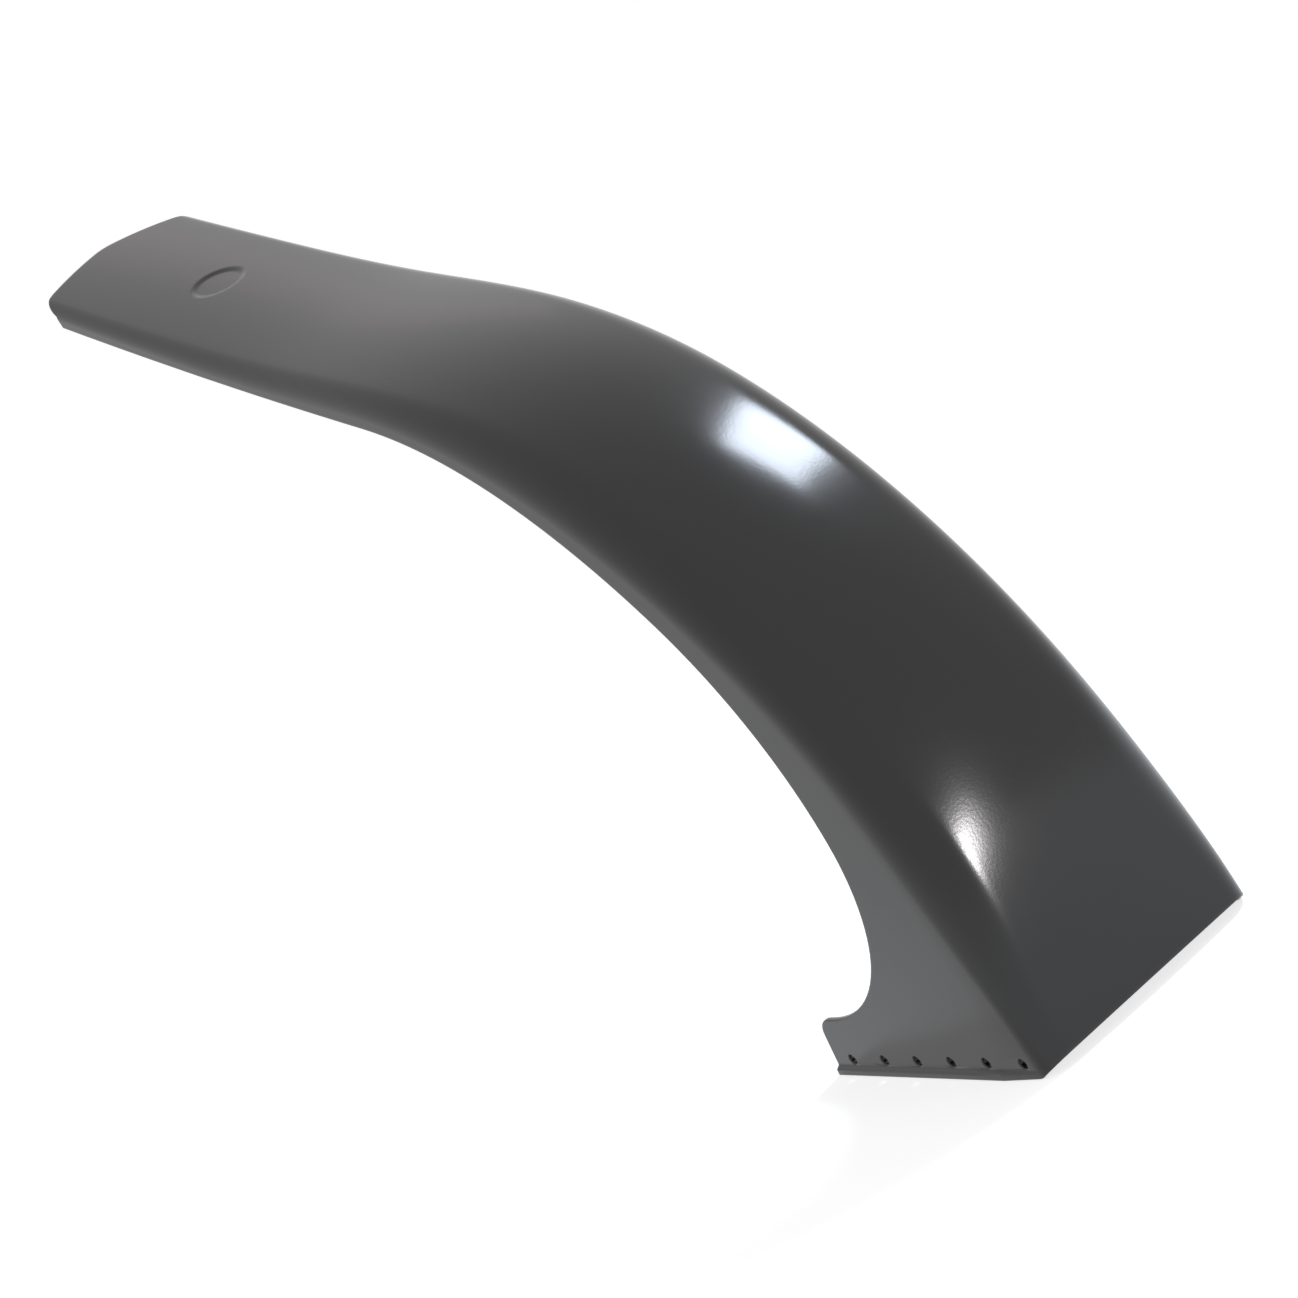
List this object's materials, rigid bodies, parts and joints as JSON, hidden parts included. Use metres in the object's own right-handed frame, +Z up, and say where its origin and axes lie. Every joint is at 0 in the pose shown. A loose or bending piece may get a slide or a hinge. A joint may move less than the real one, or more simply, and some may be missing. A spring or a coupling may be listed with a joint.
{
  "type": "bicycle mudguard",
  "caption": "Black moulded bicycle mudguard: a thin channel that rises from a boxy tail with skirted feet, arches over the wheel and ends in a flat upswept blade.",
  "frame": {"origin": "centre of the overall box in plan, at the height of the underside of the lips", "axes": "+X from the blade to the tail along the lips, +Y across the wheel, +Z up from the lips"},
  "size_m": [0.5012, 0.1216, 0.4476],
  "materials": {
    "black_plastic": "semi-gloss moulded black with a smooth skin"
  },
  "bodies": {
    "root": {"mudguard_shell": "black_plastic"}
  },
  "joints": []
}
